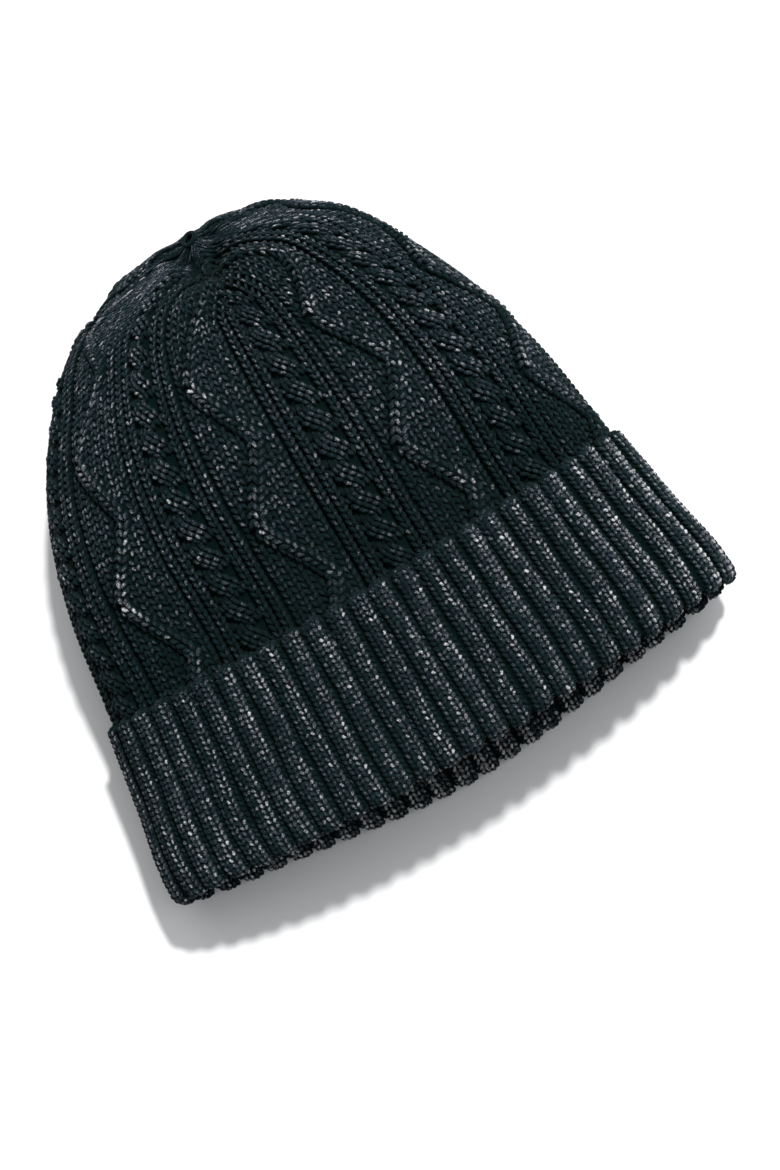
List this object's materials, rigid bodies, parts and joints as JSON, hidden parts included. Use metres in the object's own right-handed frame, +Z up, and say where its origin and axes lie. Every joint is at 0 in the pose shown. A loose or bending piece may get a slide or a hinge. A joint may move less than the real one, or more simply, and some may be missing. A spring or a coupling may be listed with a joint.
{
  "type": "knit beanie",
  "caption": "Cuffed cable-knit beanie lying on its back: turned-up rib cuff, zigzag and rope cables, darted crown, open for a head.",
  "frame": {"origin": "centre of the bounding box in plan, on the surface that the hat's back lies on", "axes": "+Z up from the hat's back to its front, +Y from the opening to the crown, +X across"},
  "size_m": [0.2412, 0.2251, 0.0783],
  "materials": {
    "cable_knit": "marled, mineral-washed wool knit",
    "rib_knit": "marled, mineral-washed rib knit",
    "seam_yarn": "linked yarn",
    "label_satin": "woven satin tape, blank"
  },
  "bodies": {
    "hat": {"body_tube": "cable_knit", "crown_gore_front_left": "cable_knit", "crown_gore_front_right": "cable_knit", "crown_gore_back_left": "cable_knit", "crown_gore_back_right": "cable_knit", "cuff": "rib_knit", "inner_band": "rib_knit", "fold_edge": "rib_knit", "cast_on_edge": "rib_knit", "crown_tie": "seam_yarn", "dart_seam_front": "seam_yarn", "dart_seam_back": "seam_yarn", "dart_seam_left": "seam_yarn", "dart_seam_right": "seam_yarn", "back_seam": "seam_yarn"},
    "label": {"care_label": "label_satin"}
  },
  "joints": [
    {"name": "label_flap", "type": "hinge", "parent": "hat", "child": "label", "pos_m": [0.01135, -0.00011, 0.00632], "axis": [0, -0.9993, 0.0377], "range_deg": [0, 100]}
  ]
}
